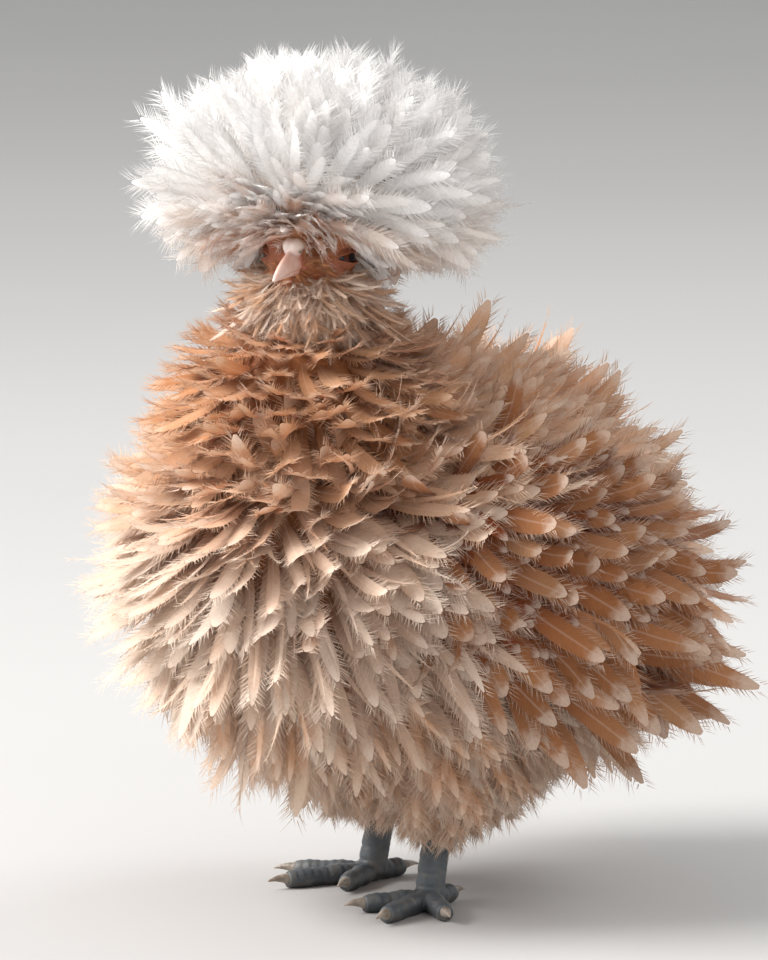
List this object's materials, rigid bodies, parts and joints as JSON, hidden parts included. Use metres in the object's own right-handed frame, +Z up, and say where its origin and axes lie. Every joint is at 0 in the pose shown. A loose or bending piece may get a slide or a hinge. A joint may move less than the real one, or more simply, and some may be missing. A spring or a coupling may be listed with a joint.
{
  "type": "frizzle chicken",
  "caption": "Life-size standing model of a crested, bearded frizzle bantam hen with outward-curled buff feathers, a round pale crest and bare slate shanks.",
  "frame": {"origin": "centre of the bounding box in X and Y, at the level of the soles", "axes": "+Z up, the bird faces -Y with its left side towards +X"},
  "size_m": [0.1622, 0.2028, 0.2347],
  "materials": {
    "face_skin": "matte, finely wrinkled bare skin",
    "bill_horn": "satin pinkish horn",
    "eye": "wet gloss, dark brown iris",
    "crest_feather": "soft matte white feather",
    "buff_feather": "soft matte buff feather with cream edges",
    "pale_feather": "soft matte cream feather",
    "shank_scale": "satin slate-grey scales",
    "claw_horn": "satin horn"
  },
  "bodies": {
    "root": {"head": "face_skin", "bill_upper": "bill_horn", "bill_lower": "bill_horn", "eye_left": "eye", "eye_right": "eye", "crest": "crest_feather", "beard": "crest_feather", "neck": "buff_feather", "torso": "buff_feather", "wing_left": "buff_feather", "wing_right": "buff_feather", "tail": "pale_feather", "thigh_left": "pale_feather", "thigh_right": "pale_feather", "leg_left": "shank_scale", "leg_right": "shank_scale", "claw_left_inner": "claw_horn", "claw_left_middle": "claw_horn", "claw_left_outer": "claw_horn", "claw_left_hind": "claw_horn", "claw_right_inner": "claw_horn", "claw_right_middle": "claw_horn", "claw_right_outer": "claw_horn", "claw_right_hind": "claw_horn"}
  },
  "joints": []
}
